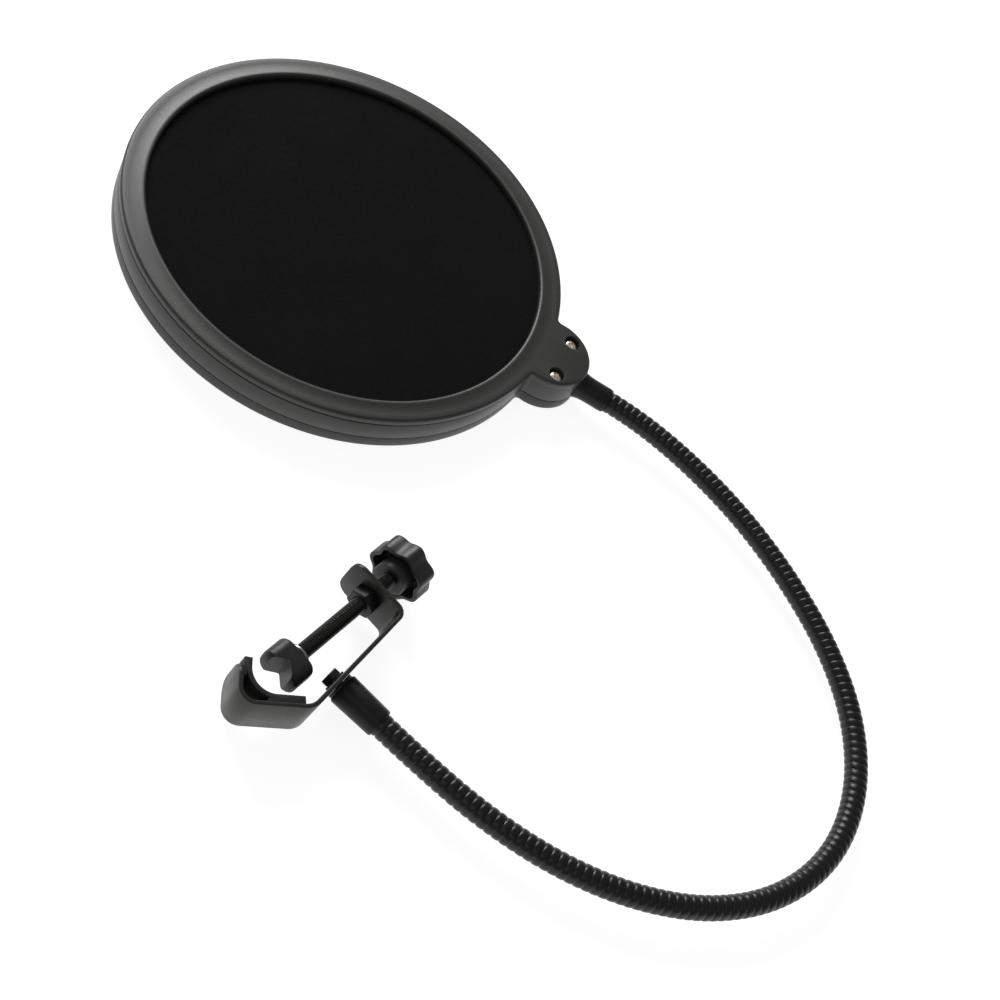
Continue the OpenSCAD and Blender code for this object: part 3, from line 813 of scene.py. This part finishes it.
# in the frame turned along the screw, the first axis is the pad's height and the second its width
section = [(y, x) for x, y in section][::-1]
FRONT_ROUND, BACK_ROUND = 1.1, 1.6
loops = []
for z, inset in (
    [(PAD_AT + rise, inset) for rise, inset in rounding(FRONT_ROUND, (80, 60, 40, 20, 0))]
    + [(PAD_BACK - rise, inset) for rise, inset in rounding(BACK_ROUND, (0, 18, 36, 54, 72, 85))]
):
    pts = []
    for x, y in section:
        cx = max(-(PAD_H / 2 - PAD_CORNER), min(PAD_H / 2 - PAD_CORNER, x))
        cy = max(-(PAD_W / 2 - PAD_CORNER), min(PAD_W / 2 - PAD_CORNER, y))
        k = (PAD_CORNER - inset) / PAD_CORNER
        pts.append((cx + (x - cx) * k, cy + (y - cy) * k, z))
    loops.append(np.array(pts))
verts, faces = loops_mesh(loops, cap_start=True, cap_end=True)
pad = piece("pad", verts, faces, None, "pad_rubber", turned_to(JAW, "y"))
notch = prism([(0, 3.2), (-0.5, 2.95), (-7.6, -3.0), (7.6, -3.0), (0.5, 2.95)], -10, 10)
hole = lathe([(2.8, PAD_AT + 3.4), (2.8, PAD_BACK - WEB)], 32)
thin = lathe([(2.06, PAD_AT + 3.4), (2.06, PAD_BACK + 1)], 32)
cut(
    pad,
    [
        (notch[0], notch[1], shifted(JAW, 0, PAD_AT, 0)),
        (hole[0], hole[1], turned_to(JAW, "y")),
        (thin[0], thin[1], turned_to(JAW, "y")),
    ],
)
smooth(pad, 35)
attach(pad, "pad")
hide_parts("pressure_pad")


def lobed(inset, z, n=7 * 24):
    """A loop round the knob, set in from its lobes."""
    a = np.arange(n) * TAU / n
    r = KNOB_R - inset - FLUTE / 2 * (1 - np.cos(LOBES * a))
    turn = math.pi - math.pi / LOBES
    return np.stack([r * np.cos(a + turn), r * np.sin(a + turn), np.full(n, z)], 1)


ROUND = 7 * 24
TOP_ROUND, DISH = 1.1, 0.3
rim, top = KNOB_AT, KNOB_AT + KNOB_L
ceiling = top - 2.2
hub_end = rim - 3
loops = [
    circle(2.5, ceiling - 0.5, ROUND), circle(2.5, hub_end, ROUND), circle(5.3, hub_end, ROUND),
    circle(5.5, hub_end + 0.3, ROUND), circle(5.5, ceiling, ROUND),
    lobed(1.6, ceiling), lobed(1.5, ceiling - 0.3), lobed(1.5, rim + 0.3), lobed(1.3, rim + 0.05),
    lobed(1.0, rim), lobed(0.35, rim), lobed(0.1, rim + 0.12), lobed(0.0, rim + 0.4),
]
loops += [lobed(inset, top - rise) for rise, inset in rounding(TOP_ROUND, (0, 20, 40, 60, 80))]
loops += [lobed(1.6, top), circle(5.6, top, ROUND)]
loops += [circle(r, top - DISH, ROUND) for r in (5.4, 2.0, 0.01)]
verts, faces = loops_mesh(loops, cap_start=True, cap_end=True)
knob = piece("knob", verts, faces, "screw", "knob_plastic", turned_to(JAW, "y"), 38)
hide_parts("clamp_knob")

# ---- CAD pieces that stay as they are ------------------------------------------------------

SLOTS = {s["node"]: s["material_slot"] for s in frame["record"]["subparts"]}
for name, o in frame["nodes"].items():
    o.data.materials.clear()
    o.data.materials.append(FINISH[SLOTS[name]])
    weld = o.modifiers.new("weld", "WELD")
    weld.merge_threshold = 0.0005 * MM
    soften(o, 0.12, 2, 40)

# ---- floor, light and camera ---------------------------------------------------------------

FLOOR_HALF = 6.0
floor_mesh = bpy.data.meshes.new("floor")
floor_mesh.from_pydata(
    [(x * FLOOR_HALF, y * FLOOR_HALF, 0) for x, y in ((-1, -1), (1, -1), (1, 1), (-1, 1))],
    [],
    [(0, 1, 2, 3)],
)
floor = bpy.data.objects.new("floor", floor_mesh)
bpy.context.scene.collection.objects.link(floor)
paper = bpy.data.materials.new("paper")
paper.use_nodes = True
t = paper.node_tree
shader = t.nodes["Principled BSDF"]
shader.inputs["Base Color"].default_value = (0.4, 0.395, 0.4, 1)
shader.inputs["Roughness"].default_value = 0.9
shader.inputs["Specular IOR Level"].default_value = 0.1
shader.inputs["Emission Color"].default_value = (1, 0.99, 1, 1)
shader.inputs["Emission Strength"].default_value = 0.88
floor_mesh.materials.append(paper)

world = bpy.data.worlds.new("studio")
world.use_nodes = True
t = world.node_tree
ambient = t.nodes["Background"]
ambient.inputs["Color"].default_value = (1, 1, 1, 1)
ambient.inputs["Strength"].default_value = 0.26
backdrop = node(t, "ShaderNodeBackground", Color=(1, 0.99, 1, 1), Strength=0.98)
path_kind = node(t, "ShaderNodeLightPath")
seen = node(t, "ShaderNodeMixShader")
t.links.new(path_kind.outputs["Is Camera Ray"], seen.inputs["Fac"])
t.links.new(ambient.outputs["Background"], seen.inputs[1])
t.links.new(backdrop.outputs["Background"], seen.inputs[2])
t.links.new(seen.outputs["Shader"], t.nodes["World Output"].inputs["Surface"])
bpy.context.scene.world = world


def lamp(name, at, aim, width, height, power):
    data = bpy.data.lights.new(name, "AREA")
    data.shape = "RECTANGLE"
    data.size, data.size_y = width, height
    data.energy = power
    o = bpy.data.objects.new(name, data)
    o.location = at
    o.rotation_mode = "QUATERNION"
    o.rotation_quaternion = (Vector(aim) - Vector(at)).to_track_quat("-Z", "Y")
    bpy.context.scene.collection.objects.link(o)
    return o


lamp("key", (-0.78, 1.0, 0.72), (-0.06, 0.03, 0), 0.9, 0.7, 19)
lamp("fill", (-0.2, -0.9, 1.1), (0.0, 0.0, 0), 1.0, 0.6, 1)

camera_data = bpy.data.cameras.new("camera")
camera_data.sensor_width = 36
camera_data.lens = 61.2
camera_data.clip_start, camera_data.clip_end = 0.02, 20
camera = bpy.data.objects.new("camera", camera_data)
right = Vector((0.856, 0.339, 0.389)).normalized()
upward = Vector((-0.508, 0.687, 0.519))
upward = (upward - upward.dot(right) * right).normalized()
back = right.cross(upward)
eye = Vector(((hoop_c[0] + 36.8) * MM, (hoop_c[1] - 413.1) * MM, (HOOP_T + 407.2) * MM))
camera.matrix_world = Matrix(
    (
        (right.x, upward.x, back.x, eye.x),
        (right.y, upward.y, back.y, eye.y),
        (right.z, upward.z, back.z, eye.z),
        (0, 0, 0, 1),
    )
)
bpy.context.scene.collection.objects.link(camera)
bpy.context.scene.camera = camera
bpy.context.scene.view_settings.view_transform = "Standard"
